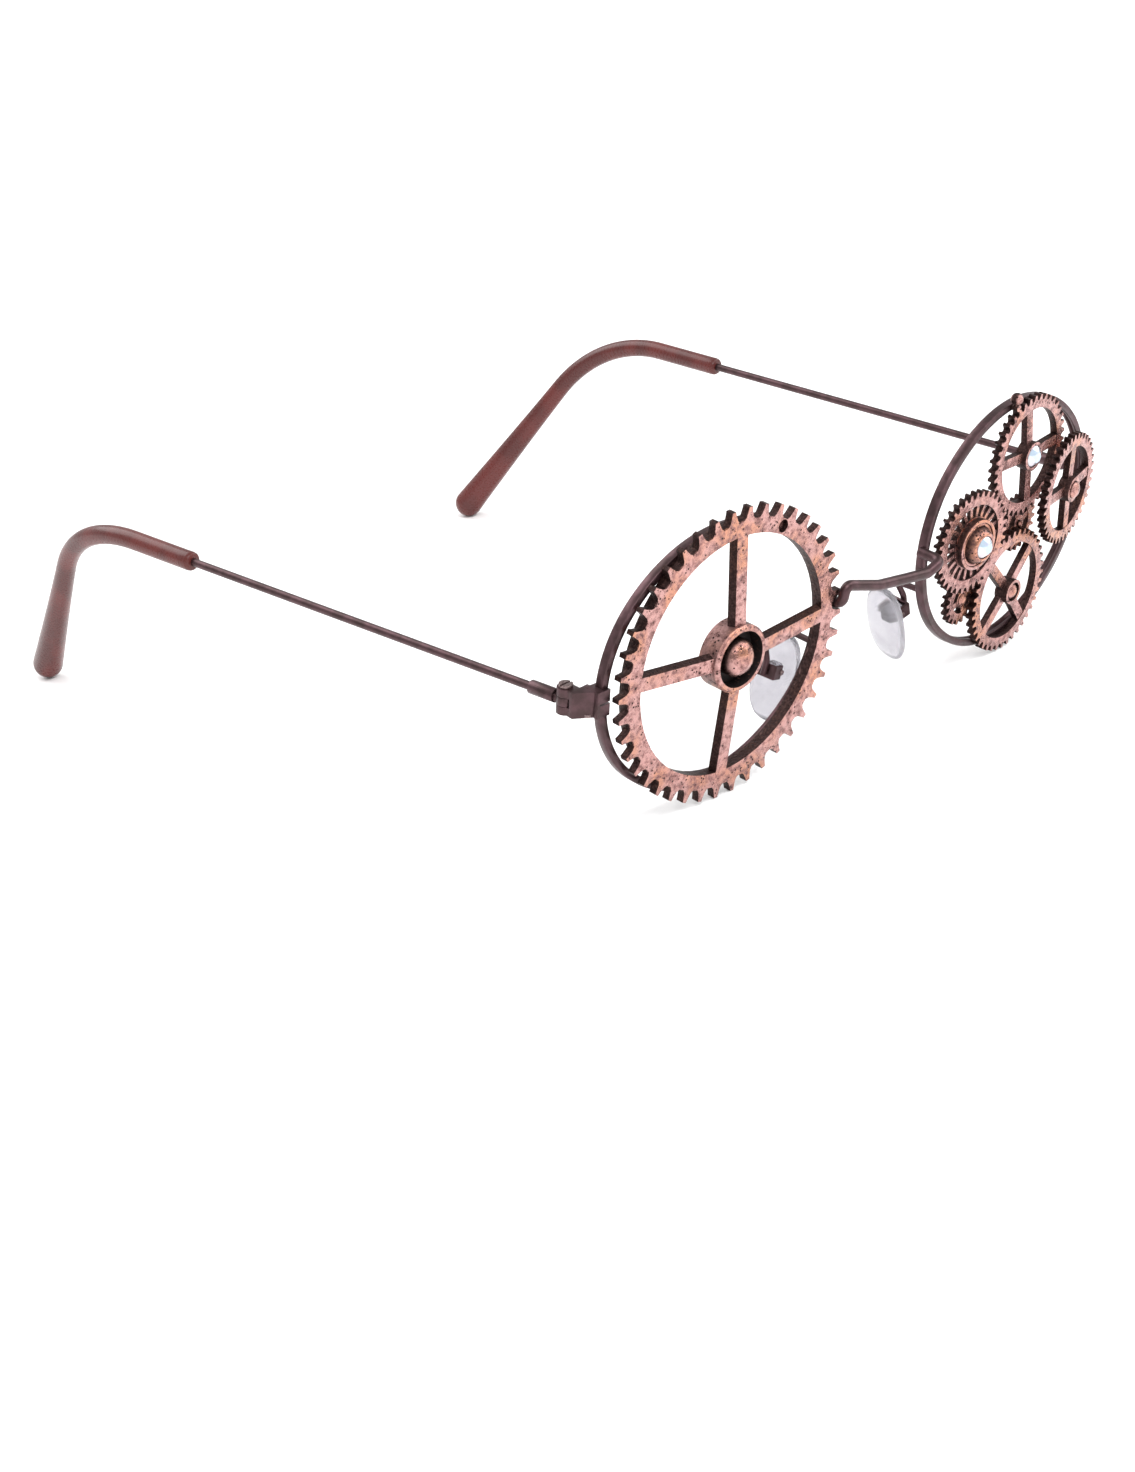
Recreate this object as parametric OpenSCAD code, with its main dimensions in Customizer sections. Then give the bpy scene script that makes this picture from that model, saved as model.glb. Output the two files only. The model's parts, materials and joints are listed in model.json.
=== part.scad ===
// Round wire spectacles dressed with clock gears, standing open on their gears and temple tips.
// +X is the wearer's left, +Y runs back along the temples, +Z is up. The origin lies midway
// between the two rims, in the plane of their front faces.

/* [Rims] */
// Distance between the middles of the two rims
rim_spacing = 70.6; // [67:0.1:76]
// Half the width of a rim, to the middle of its wire
rim_half_w = 22.7; // [21.5:0.1:24]
// Half the height of a rim, to the middle of its wire
rim_half_h = 20.3; // [19:0.1:21.4]
// Thickness of the rim wire across the lens opening
rim_wire = 1.2; // [0.9:0.05:1.6]
// Depth of the rim wire from front to back
rim_depth = 1.5; // [1.2:0.1:2.2]
// Width of the lens groove inside the rim
groove_w = 0.7; // [0.3:0.05:1]
// Depth of the lens groove inside the rim
groove_d = 0.35; // [0.1:0.05:0.5]
// Turn of each rim about its own upright axis, outer side back
face_form = 3.2; // [0:0.2:6]

/* [Bridge] */
// Diameter of the bridge wire
bridge_d = 1.7; // [1.3:0.1:1.9]
// How far the bridge wire runs in front of the rims
bridge_forward = 3.8; // [3:0.1:6]
// Height of the bridge wire's feet above the rim middles
bridge_up = 2.1; // [1.5:0.1:2.6]
// Height that the bridge wire is bent up beside the wearer's right rim
bridge_kick = 3; // [1:0.1:4]
// Rise of the bridge wire's middle above its feet
bridge_rise = 0.9; // [0:0.1:2]
// Dip of the bridge wire beside its left corner
bridge_dip = 1; // [0:0.1:1.5]

/* [Hinges] */
// Distance of the hinge screw outward from the middle of the rim wire
hinge_out = 3.4; // [3.2:0.1:5]
// Distance of the hinge screw behind the rim fronts
hinge_back = 5.5; // [5:0.1:8]
// Height of the hinge above the rim middles
hinge_up = 0.25; // [0:0.05:1]
// Diameter of the hinge barrel
barrel_d = 2.6; // [2.2:0.1:3]
// Height of one knuckle of the hinge
knuckle_h = 1.3; // [1:0.1:2]
// Gap between neighbouring knuckles
knuckle_gap = 0.06; // [0.03:0.01:0.15]
// Diameter of the hinge screw
hinge_screw_d = 1.2; // [0.8:0.1:1.4]
// Radial clearance of the hinge screw in the knuckles
hinge_clearance = 0.04; // [0.02:0.01:0.08]
// Thickness of the plates that clasp the rim
clasp_t = 0.6; // [0.4:0.05:0.8]
// Diameter of the screw that closes the rim
closing_d = 1; // [0.7:0.1:1.1]

/* [Temples] */
// Diameter of the temple wire
temple_wire_d = 1.3; // [1:0.1:1.7]
// Length from the hinge screw to the start of the plastic tip
temple_len = 76.6; // [65:0.1:95]
// Fall of the temple below a line square to the rims
temple_fall = 3.3; // [0:0.1:7]
// Outward swing of the wearer's right temple as it stands
right_splay = 2.5; // [-2:0.1:5]
// Outward swing of the wearer's left temple as it stands
left_splay = -1.4; // [-3:0.1:5]

/* [Temple tips] */
// Thickness of the tip where it starts on the wire
tip_start_d = 3.1; // [2.4:0.1:4]
// Thickness of the bulb at the tip's end
tip_end_d = 5.2; // [4:0.1:7]
// Straight length of the tip before it bends
tip_straight = 13.7; // [13:0.1:25]
// Radius of the bend over the ear
tip_bend_r = 26.3; // [12:0.1:35]
// Angle of the bend over the ear
tip_bend = 57; // [35:1:75]
// Length of the tip after the bend, to the middle of the bulb
tip_drop = 32; // [22:0.1:45]
// Lean of the drop toward the head
tip_lean = 17; // [0:1:25]
// Length of wire held inside the tip
tip_grip = 12; // [6:0.1:12.5]

/* [Nose pads] */
// Length of a nose pad
pad_len = 14.2; // [11:0.1:16]
// Width of a nose pad
pad_w = 8.4; // [6:0.1:9]
// Thickness of a nose pad
pad_t = 1.8; // [1.2:0.1:2.2]
// Sideways distance of the pad's screw from the middle of the bridge
pad_x = 15.4; // [15:0.1:17]
// Distance of the pad's screw behind the rim fronts
pad_back = 6.7; // [6.2:0.1:9]
// Distance of the pad's screw below the rim middles
pad_down = 11.2; // [9.6:0.1:12]
// Slant of the pads from upright, apart at the bottom
pad_slant = 16; // [10:1:24]
// Splay of the pads toward the face, measured from the rim's depth
pad_splay = 9; // [4:1:14]
// Diameter of the pad arm's wire
pad_arm_d = 1; // [0.8:0.1:1.2]
// Diameter of the pad's screw
pad_screw_d = 0.9; // [0.6:0.1:1]
// Radial clearance of the pad's screw in the pad
pad_clearance = 0.05; // [0.02:0.01:0.09]

/* [Big gear] */
// Reach of the big gear's teeth past the middle of the rim wire
big_past = 0.4; // [0.2:0.1:0.9]
// Number of teeth of the big gear
big_teeth = 42; // [30:1:54]
// Height of the big gear's teeth
big_tooth_h = 2; // [1.9:0.1:2.4]
// Width of the ring inside the big gear's teeth
big_ring_w = 2.3; // [2.1:0.1:3]
// Thickness of the big gear's ring
big_t = 1.9; // [1.6:0.1:2.4]
// How far the backs of the big gear's teeth lie in front of its ring's back
big_tooth_back = 0.6; // [0.3:0.1:0.9]
// Shift of the big gear toward the nose
big_in = 1.4; // [0.8:0.1:1.8]
// Rise of the big gear above the rim's middle
big_up = 0.45; // [0:0.05:1]
// Width of the big gear's spokes at the back
big_spoke_w = 3; // [2.2:0.1:3.6]
// Radius of the big gear's hub
big_hub_r = 5.3; // [4.8:0.1:6.5]
// Height of the big gear's hub
big_hub_h = 3.6; // [3:0.1:5]
// Radius of the domed rivet in the big gear's hub
big_dome_r = 2.9; // [1.8:0.1:3.2]

/* [Gear cluster] */
// Thickness of each small gear
gear_t = 1.3; // [1:0.1:1.6]
// Height of the small gears' teeth
tooth_h = 0.9; // [0.6:0.05:1.2]
// Width of the ring inside the small gears' teeth
ring_w = 1.3; // [1:0.05:1.6]
// Width of the small gears' spokes
spoke_w = 1.7; // [1.2:0.1:2.2]
// Radius of the top gear over its teeth
top_r = 10.1; // [9.6:0.1:10.4]
// Radius of the capped gear over its teeth
capped_r = 8.5; // [8.2:0.1:9]
// Radius of the outer gear over its teeth
outer_r = 9.3; // [8.9:0.1:9.6]
// Radius of the bottom gear over its teeth
bottom_r = 10.4; // [10:0.1:10.8]
// Radius of the little gear over its teeth
little_r = 4.3; // [3.8:0.1:4.6]
// Radius of the middle gear over its teeth
middle_r = 4.8; // [4.4:0.1:5.1]
// Diameter of the two crystals
crystal_d = 3.6; // [3:0.1:3.9]
// Diameter of the ball on the rim's top
ball_d = 2; // [1.5:0.1:2.5]
// Radial clearance of rivets and crystals in their holes
fit_gap = 0.05; // [0.02:0.01:0.1]

/* [Hidden] */
$fn = 64;
RIGHT = -1;
LEFT = 1;

// Each rim is an oval of four arcs that meet at 45 degrees
oval_shift = (rim_half_w - rim_half_h) * (2 + sqrt(2)) / 2;
side_r = rim_half_w - oval_shift;
top_arc_r = rim_half_h + oval_shift;
rim_out = rim_half_w + rim_wire / 2;
rim_in = rim_half_w - rim_wire / 2;
rim_top = rim_half_h + rim_wire / 2;
big_r = rim_half_w + big_past;
split_gap = 0.3;

// The clasp round the rim's outer side, and the hinge behind it
clasp_h = 4.1;
clasp_wall = 1.2;
clasp_out = rim_out + clasp_wall;
hinge_at = [rim_spacing / 2 + rim_half_w + hinge_out, hinge_back, hinge_up];
hinge_half_h = 1.5 * knuckle_h + knuckle_gap;
hinge_space = 0.25;
lug_back = -barrel_d / 2 - hinge_space;
lug_in = -barrel_d / 2 - 1.45;
closing_at = [-1.4, lug_back - 1.3];
closing_head_d = closing_d + 0.8;
closing_head_h = 0.5;
closing_tip = 0.6;
screw_head_h = 0.5;
slot_w = 0.3;
slot_d = 0.25;

// The temple's socket behind the hinge
socket_start = barrel_d / 2 + 0.4;
socket_len = 4.6;
socket_d = temple_wire_d + 0.8;
wire_start = socket_start + 1;

// The stand: how far the rims lean forward when the gears' feet and both tips touch a table
tip_depth = tip_bend_r * (1 - cos(tip_bend)) + tip_drop * sin(tip_bend);
tip_reach = temple_len + tip_straight + tip_bend_r * sin(tip_bend) + tip_drop * cos(tip_bend);
tip_fallen = tip_depth * cos(tip_lean);
bulb_y = hinge_at.y + tip_reach * cos(temple_fall) - tip_fallen * sin(temple_fall);
bulb_z = hinge_at.z - tip_reach * sin(temple_fall) - tip_fallen * cos(temple_fall);
foot_y = -big_t;
foot_z = big_up - big_r;
foot_to_bulb = norm([bulb_y - foot_y, bulb_z - foot_z]);
stand_lean = asin(tip_end_d / 2 / foot_to_bulb) + atan2(foot_z - bulb_z, bulb_y - foot_y);

// Nose pads: the pad hangs from its screw, with its middle lower and nearer the nose
pad_at = [pad_x - rim_spacing / 2, pad_back, -pad_down];
pad_off = 1 + pad_t / 2;
pad_low = 1.4;
boss_r = 1.15;
boss_w = 2.2;
bracket_t = 0.5;
bracket_gap = 0.12;
bracket_w = boss_w + 2 * (bracket_t + bracket_gap);
bracket_out = boss_r + 0.25;
arm_down = 5;
arm_foot = [-oval_shift - sqrt(pow(side_r, 2) - pow(arm_down, 2)), rim_depth, -arm_down];

// Places of the gears in their rims, as the rim's own x and z
big_at = [-big_in, big_up];
bottom_at = [1.2, foot_z + bottom_r];
top_at = [3, rim_top + 0.1 - top_r];
mesh_gap = 0.25;
capped_in = 2.2;
capped_x = capped_r + capped_in - rim_out;
capped_over_bottom = sqrt(pow(capped_r + bottom_r + mesh_gap, 2) - pow(capped_x - bottom_at.x, 2));
capped_at = [capped_x, bottom_at.y + capped_over_bottom];
outer_seat = clasp_out - 1.5;
outer_at = [outer_seat - outer_r, 2.3];
little_at = [bottom_at.x - 12, bottom_at.y + 2.05];
middle_at = [bottom_at.x + 3, bottom_at.y + bottom_r + 0.15];
ball_at = [-2.3, rim_top + 1];

// The capped gear leans from its nose side onto the top gear. The outer gear leans from the clasp
// over the top gear.
outer_over_top = 0.5;
capped_seat = capped_at.x - capped_r + 0.05;
capped_meets = capped_at.x + capped_r * (top_at.x - capped_at.x) / norm(top_at - capped_at);
capped_tilt = atan((gear_t + 2.4 * fit_gap) / (capped_meets - capped_seat));
top_to_outer = outer_at - top_at;
meet_along = (pow(top_r, 2) - pow(outer_r, 2) + pow(norm(top_to_outer), 2)) / 2 / norm(top_to_outer);
meet_aside = sqrt(pow(top_r, 2) - pow(meet_along, 2));
outer_meets = top_at.x + (meet_along * top_to_outer.x - meet_aside * top_to_outer.y) / norm(top_to_outer);
outer_tilt = atan((gear_t + outer_over_top - clasp_t) / (outer_seat - outer_meets));

// Spokes of each gear, as angles from the rim's outer side
big_spokes = [91, 178, 273, 4];
top_spokes = [99, 3, -84, 177];
outer_spokes = [88, 6, -86, 179];
bottom_spokes = [46, 134, 222, -52];
capped_bars = 22;
small_teeth = 40;
small_tip_share = 0.3;
crystal_wall = 0.6;
rivet_hub_r = 2.1;
hub_h = 2.1;
cap_r = 4.3;
cap_lip = 0.6;

module stand() {
    rotate([stand_lean, 0, 0]) children();
}

// Draws a piece on the wearer's left, or its mirror image on the right
module on_side(side) {
    mirror([side == RIGHT ? 1 : 0, 0, 0]) children();
}

// The rim's own frame: middle of the rim's front face, x outward, y back, z up
module at_rim(side) {
    stand() on_side(side) translate([rim_spacing / 2, 0, 0]) rotate([0, 0, face_form]) children();
}

module at_hinge(side) {
    stand() on_side(side) translate(hinge_at) children();
}

// The temple's own frame: hinge screw at the middle, y along the temple wire
module at_temple(side) {
    at_hinge(side) rotate([0, 0, side == RIGHT ? -right_splay : -left_splay])
        rotate([-temple_fall, 0, 0]) children();
}

// The pad's own frame: the screw runs along y, x points away from the nose, z up the pad
module at_pad(side) {
    at_rim(side) translate(pad_at) rotate([0, -pad_slant, 0]) rotate([0, 0, -pad_splay]) children();
}

// The same turn for one point, which gives where a pad's bracket lies in the rim's frame
function pad_point(p) = let (
    x = p.x * cos(pad_splay) + p.y * sin(pad_splay),
    y = p.y * cos(pad_splay) - p.x * sin(pad_splay)
) pad_at + [x * cos(pad_slant) - p.z * sin(pad_slant), y, x * sin(pad_slant) + p.z * cos(pad_slant)];

// Turns a flat drawing upright, so that its thickness grows toward the front
module upright() {
    rotate([90, 0, 0]) children();
}

module rod(a, b, d) {
    v = b - a;
    translate(a) rotate([0, acos(v.z / norm(v)), atan2(v.y, v.x)]) cylinder(h = norm(v), d = d);
}

// A wire along straight runs, with round corners
module wire(points, d) {
    for (i = [0:len(points) - 2]) rod(points[i], points[i + 1], d);
    for (i = [1:len(points) - 2]) translate(points[i]) sphere(d = d * 1.03);
}

// A round cap of base radius r and height h
module dome(r, h) {
    ball_r = (pow(r, 2) + pow(h, 2)) / 2 / h;
    intersection() {
        translate([0, 0, h - ball_r]) sphere(r = ball_r);
        cylinder(r = r, h = h);
    }
}

// A domed rivet: head on a column, shank through the plate and a flat tail behind it
module rivet(head_r, head_h, column, shank_r, plate) {
    translate([0, 0, plate]) cylinder(r = head_r, h = column);
    translate([0, 0, plate + column]) dome(head_r, head_h);
    cylinder(r = shank_r, h = plate);
    translate([0, 0, -0.4]) cylinder(r = shank_r + 0.5, h = 0.4);
}

module screw(d, h, head_d) {
    difference() {
        union() {
            cylinder(d = d, h = h);
            translate([0, 0, h]) cylinder(d = head_d, h = screw_head_h);
        }
        translate([-head_d, -slot_w / 2, h + screw_head_h - slot_d]) cube([2 * head_d, slot_w, 1]);
    }
}

// Outline of a gear with narrow teeth and round gaps. A tooth stands at angle 0.
function gear_points(r, teeth, height, tip_share, steps) = [
    for (i = [0:teeth - 1], k = [0:steps])
        let (
            across = -cos(180 * k / steps),
            depth = height * (1 - pow(across, 4)),
            angle = (i + 0.5 + across * (1 - tip_share) / 2) * 360 / teeth
        )
        (r - depth) * [cos(angle), sin(angle)]
];

// A flat toothed ring of inner radius inner
module toothed_ring(r, teeth, height, tip_share, steps, thick, inner) {
    difference() {
        linear_extrude(thick) polygon(gear_points(r, teeth, height, tip_share, steps));
        translate([0, 0, -1]) cylinder(r = inner, h = thick + 2);
    }
}

// A small gear: toothed ring, spokes at the given angles and a hub
module spoked_gear(r, spokes, hub_r) {
    inner = r - tooth_h - ring_w;
    toothed_ring(r, small_teeth, tooth_h, small_tip_share, 6, gear_t, inner);
    for (angle = spokes) rotate(angle)
        translate([hub_r - 0.3, -spoke_w / 2, 0.1]) cube([inner + 0.6 - hub_r, spoke_w, gear_t - 0.2]);
    cylinder(r = hub_r, h = hub_h);
}

// Leans a gear about an upright line at x on the rim, y in front of it
module leaning(x, y, tilt) {
    translate([x, y, 0]) rotate([0, 0, tilt]) translate([-x, 0, 0]) children();
}

module gear_place(at) {
    translate([at.x, 0, at.y]) upright() children();
}

module capped_place() {
    at_rim(LEFT) leaning(capped_seat, 0, -capped_tilt) gear_place(capped_at) children();
}

module outer_place() {
    at_rim(LEFT) leaning(outer_seat, -clasp_t, outer_tilt) gear_place(outer_at) children();
}

// The section of the rim wire about an arc of radius r, with its lens groove
module rim_section(r) {
    half = rim_wire / 2;
    mid = rim_depth / 2;
    polygon([
        [r - half, 0], [r + half, 0], [r + half, rim_depth], [r - half, rim_depth],
        [r - half, mid + groove_w / 2], [r - half + groove_d, mid], [r - half, mid - groove_w / 2]
    ]);
}

// A quarter of the rim, with a core that runs on into the next quarter
module rim_arc(middle, start, r) {
    core = rim_wire - groove_d - 0.2;
    translate(middle) rotate(start) rotate_extrude(angle = 90, $fn = 128) rim_section(r);
    translate(middle) rotate(start + 88) rotate_extrude(angle = 4, $fn = 128)
        translate([r + rim_wire / 2 - 0.1 - core, 0.1]) square([core, rim_depth - 0.2]);
}

module rim(side) {
    color("#4b3a3c") at_rim(side) difference() {
        upright() translate([0, 0, -rim_depth]) {
            rim_arc([oval_shift, 0, 0], -45, side_r);
            rim_arc([0, -oval_shift, 0], 45, top_arc_r);
            rim_arc([-oval_shift, 0, 0], 135, side_r);
            rim_arc([0, oval_shift, 0], 225, top_arc_r);
        }
        translate([rim_in - 1, -1, hinge_at.z - split_gap / 2])
            cube([rim_wire + 2, rim_depth + 2, split_gap]);
    }
}

// The bridge: a wire bent unevenly across the front, with a strut back to each rim's nose side.
// Each strut is filed to its rim, and the right one passes between two teeth of the big gear.
module bridge_wire() {
    strut_past = 0.4;
    strut_x = -oval_shift - sqrt(pow(side_r + rim_wire / 2, 2) - pow(bridge_up, 2)) - strut_past;
    foot_x = rim_spacing / 2 + strut_x * cos(face_form);
    foot_y = strut_x * sin(face_form) + rim_depth / 2;
    right_y = -bridge_forward - 0.3;
    left_y = -bridge_forward - 1;
    color("#4b3a3c") difference() {
        stand() wire([
            [-foot_x, foot_y, bridge_up], [-foot_x, right_y, bridge_up],
            [0.3 - foot_x, right_y, bridge_up + bridge_kick],
            [1.5 - foot_x, right_y - 0.1, bridge_up + bridge_kick - 0.2],
            [-foot_x / 3, left_y, bridge_up + bridge_rise], [foot_x * 0.7, left_y, bridge_up - bridge_dip],
            [foot_x, left_y, bridge_up], [foot_x, foot_y, bridge_up]
        ], bridge_d);
        for (side = [RIGHT, LEFT])
            at_rim(side) translate([-oval_shift, 0, 0]) upright() translate([0, 0, -rim_depth - 1])
                cylinder(r = side_r + rim_wire / 2, h = rim_depth + 1, $fn = 128);
    }
}

// The clasp round the rim's outer side, the lug behind it and the two outer knuckles. A slit
// parts it between the rim and the closing screw.
module end_piece(side) {
    color("#4b3a3c") difference() {
        union() {
            at_rim(side) translate([0, 0, hinge_at.z - clasp_h / 2]) {
                translate([rim_in, -clasp_t, 0]) cube([clasp_out - rim_in, clasp_t, clasp_h]);
                translate([rim_in, rim_depth, 0]) cube([clasp_out - rim_in, clasp_t, clasp_h]);
                difference() {
                    translate([rim_in, 0, 0]) cube([clasp_out - rim_in, rim_depth, clasp_h]);
                    translate([oval_shift, rim_depth + 1, clasp_h / 2 - hinge_at.z]) upright()
                        cylinder(r = side_r + rim_wire / 2, h = rim_depth + 2, $fn = 128);
                }
            }
            at_hinge(side) {
                translate([0, 0, -hinge_half_h]) linear_extrude(2 * hinge_half_h) polygon([
                    [lug_in, rim_depth - hinge_back], [-barrel_d / 2 - 0.3, rim_depth - hinge_back],
                    [barrel_d / 2 - 0.4, lug_back - 0.7], [barrel_d / 2 - 0.4, lug_back], [lug_in, lug_back]
                ]);
                for (low = [-hinge_half_h, hinge_half_h - knuckle_h]) translate([0, 0, low]) {
                    cylinder(h = knuckle_h, d = barrel_d);
                    translate([-barrel_d / 2 + 0.1, lug_back - 0.5, 0])
                        cube([barrel_d - 0.6, 0.5 - lug_back, knuckle_h]);
                }
            }
        }
        at_hinge(side) {
            translate([0, 0, -5]) cylinder(h = 10, d = hinge_screw_d + 2 * hinge_clearance);
            translate([closing_at.x, closing_at.y, -5])
                cylinder(h = 5 + hinge_half_h - closing_tip, d = closing_d + 2 * fit_gap);
            translate([closing_at.x, closing_at.y, -5])
                cylinder(h = 5 - hinge_half_h + closing_head_h, d = closing_head_d + 2 * fit_gap);
            translate([0, 0, -split_gap / 2]) linear_extrude(split_gap) polygon([
                [-9, -9], [lug_in + 0.7, -9], [lug_in + 0.7, lug_back - 2.2],
                [closing_at.x + 0.9, closing_at.y - 0.2], [closing_at.x + 0.9, 0], [-9, 0]
            ]);
        }
    }
}

module closing_screw(side) {
    length = 2 * hinge_half_h - closing_tip - closing_head_h - fit_gap;
    color("#6b5c5c") at_hinge(side)
        translate([closing_at.x, closing_at.y, hinge_half_h - closing_tip - fit_gap])
            mirror([0, 0, 1]) screw(closing_d, length, closing_head_d);
}

module hinge_screw(side) {
    color("#6b5c5c") at_hinge(side) translate([0, 0, -hinge_half_h])
        screw(hinge_screw_d, 2 * hinge_half_h, hinge_screw_d + 0.9);
}

// The temple's knuckle between the outer two, and the socket that holds the wire
module temple_hinge(side) {
    color("#4b3a3c") difference() {
        union() {
            at_hinge(side) translate([0, 0, -knuckle_h / 2]) cylinder(h = knuckle_h, d = barrel_d);
            at_temple(side) {
                translate([-0.7, 0, -knuckle_h / 2 + 0.1]) cube([1.4, socket_start + 0.5, knuckle_h - 0.2]);
                translate([0, socket_start, 0]) rotate([-90, 0, 0]) cylinder(h = socket_len, d = socket_d);
            }
        }
        at_hinge(side) translate([0, 0, -5]) cylinder(h = 10, d = hinge_screw_d + 2 * hinge_clearance);
        at_temple(side) translate([0, wire_start, 0]) rotate([-90, 0, 0])
            cylinder(h = socket_len, d = temple_wire_d + 2 * fit_gap);
    }
}

module temple_wire(side) {
    color("#4b3a3c") at_temple(side) translate([0, wire_start, 0]) rotate([-90, 0, 0])
        cylinder(h = temple_len + tip_grip - wire_start, d = temple_wire_d);
}

// The plastic tip: straight sleeve, bend over the ear, and a drop that swells to a bulb
module temple_tip(side) {
    bend_middle = [0, tip_straight, -tip_bend_r];
    joint_d = tip_start_d * 1.01;
    color("#6e4444") at_temple(side) translate([0, temple_len, 0]) rotate([0, tip_lean, 0]) difference() {
        union() {
            rotate([-90, 0, 0]) cylinder(h = tip_straight, d = tip_start_d);
            translate([0, tip_straight, 0]) sphere(d = joint_d);
            translate(bend_middle) rotate([0, 90, 0]) rotate(180 - tip_bend)
                rotate_extrude(angle = tip_bend, $fn = 128)
                    translate([tip_bend_r, 0]) circle(d = tip_start_d);
            translate(bend_middle) rotate([-tip_bend, 0, 0]) translate([0, 0, tip_bend_r])
                rotate([-90, 0, 0]) {
                    sphere(d = joint_d);
                    cylinder(h = tip_drop, d1 = tip_start_d, d2 = tip_end_d - 0.2);
                    translate([0, 0, tip_drop]) sphere(d = tip_end_d);
                }
        }
        translate([0, -1, 0]) rotate([-90, 0, 0])
            cylinder(h = tip_grip + 1.2, d = temple_wire_d + 2 * fit_gap);
    }
}

// The pad arm: a foot on the rim's back, a wire that loops back and down, and the bracket
module pad_arm(side) {
    wire_x = bracket_out + bracket_t + pad_arm_d / 2 - 0.1;
    knee = arm_foot + [0, 3.4, 0];
    shoulder = pad_point([wire_x, 0.5, 4.2]) + [0, 0.8, 0];
    color("#4b3a3c") {
        at_rim(side) wire([
            arm_foot, knee, shoulder, pad_point([wire_x, 0, 1.6]), pad_point([wire_x, 0, -0.6])
        ], pad_arm_d);
        at_pad(side) difference() {
            translate([-0.2, -bracket_w / 2, -boss_r])
                cube([bracket_out + bracket_t + 0.2, bracket_w, 2 * boss_r]);
            translate([-1, -bracket_w / 2 + bracket_t, -boss_r - 1])
                cube([bracket_out + 1, bracket_w - 2 * bracket_t, 2 * boss_r + 2]);
            rotate([90, 0, 0]) cylinder(h = 10, d = pad_screw_d + 2 * pad_clearance, center = true);
        }
    }
}

module pad_screw(side) {
    length = bracket_w + 0.2;
    color("#6b5c5c") at_pad(side) translate([0, bracket_w / 2 - length, 0]) rotate([-90, 0, 0])
        screw(pad_screw_d, length, pad_screw_d + 0.6);
}

// A clear pad with round ends, thinner at its edge, and the boss that its screw goes through
module nose_pad(side) {
    end_r = pad_w / 2;
    half_run = pad_len / 2 - end_r;
    color("#dcd7de", 0.6) at_pad(side) difference() {
        union() {
            translate([-pad_off, 0, -pad_low]) rotate([0, 90, 0]) hull() {
                for (end = [-half_run, half_run]) translate([end, 0, 0]) {
                    translate([0, 0, -pad_t * 0.15])
                        cylinder(r = end_r, h = pad_t * 0.4, center = true, $fn = 32);
                    cylinder(r = end_r - 0.8, h = pad_t, center = true, $fn = 32);
                }
            }
            rotate([90, 0, 0]) cylinder(h = boss_w, r = boss_r, center = true);
            translate([-pad_off, -boss_w / 2, -boss_r]) cube([pad_off, boss_w, 2 * boss_r]);
        }
        rotate([90, 0, 0]) cylinder(h = 10, d = pad_screw_d + 2 * pad_clearance, center = true);
    }
}

// The big gear: toothed ring, four bevelled spokes that rise to a deep round hub
module big_gear() {
    root_r = big_r - big_tooth_h;
    inner = root_r - big_ring_w;
    spoke_t = 1.2;
    spoke_end = inner + 0.5;
    spoke_len = spoke_end - big_hub_r + 0.6;
    spoke_rise = atan((big_hub_h - big_t - 0.7) / spoke_len);
    floor_t = 1.3;
    hub_edge = 0.35;
    strut_z = bridge_up - big_up;
    strut_x = -rim_half_w - 0.5 + big_in;
    color("#c98a76") at_rim(RIGHT) gear_place(big_at) difference() {
        union() {
            rotate(atan2(strut_z, strut_x) - 180 / big_teeth) translate([0, 0, big_tooth_back])
                toothed_ring(big_r, big_teeth, big_tooth_h, 0.2, 8, big_t - big_tooth_back, inner);
            difference() {
                cylinder(r = root_r + 0.1, h = big_t - 0.1, $fn = 128);
                translate([0, 0, -1]) cylinder(r = inner, h = big_t + 2);
            }
            for (angle = big_spokes) rotate([0, 0, angle]) translate([spoke_end, 0, big_t - spoke_t])
                rotate([0, spoke_rise, 0]) translate([-spoke_len, 0, 0]) rotate([90, 0, 90])
                    linear_extrude(spoke_len) polygon([
                        [-big_spoke_w / 2, 0], [big_spoke_w / 2, 0],
                        [big_spoke_w / 2 - 0.4, spoke_t], [0.4 - big_spoke_w / 2, spoke_t]
                    ]);
            cylinder(r = big_hub_r, h = big_hub_h - hub_edge);
            translate([0, 0, big_hub_h - hub_edge])
                cylinder(r1 = big_hub_r, r2 = big_hub_r - hub_edge, h = hub_edge);
        }
        translate([0, 0, floor_t]) cylinder(r = big_hub_r - 0.9, h = big_hub_h);
        translate([0, 0, -1]) cylinder(r = 0.95 + fit_gap, h = big_hub_h);
        rotate(116) translate([inner + big_ring_w / 2 + 0.1, 0, 1]) cylinder(d = 2, h = 2);
    }
}

module big_gear_rivet() {
    color("#c98a76") at_rim(RIGHT) gear_place(big_at) rivet(big_dome_r, 1.9, 1.7, 0.95, 1.3);
}

// The top gear carries a crystal in its hub
module top_gear() {
    color("#c98a76") at_rim(LEFT) gear_place(top_at) difference() {
        spoked_gear(top_r, top_spokes, crystal_d / 2 + crystal_wall);
        translate([0, 0, hub_h - 0.8]) cylinder(d = crystal_d + 2 * fit_gap, h = 2);
    }
}

// A cut crystal: round girdle in its setting, and a flat-topped crown
module crystal() {
    cylinder(d = crystal_d, h = 0.9);
    translate([0, 0, 0.9]) cylinder(r1 = crystal_d / 2, r2 = crystal_d / 4, h = 0.7, $fn = 8);
}

module top_crystal() {
    color("#d6e8f4") at_rim(LEFT) gear_place(top_at) translate([0, 0, hub_h - 0.8]) crystal();
}

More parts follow.
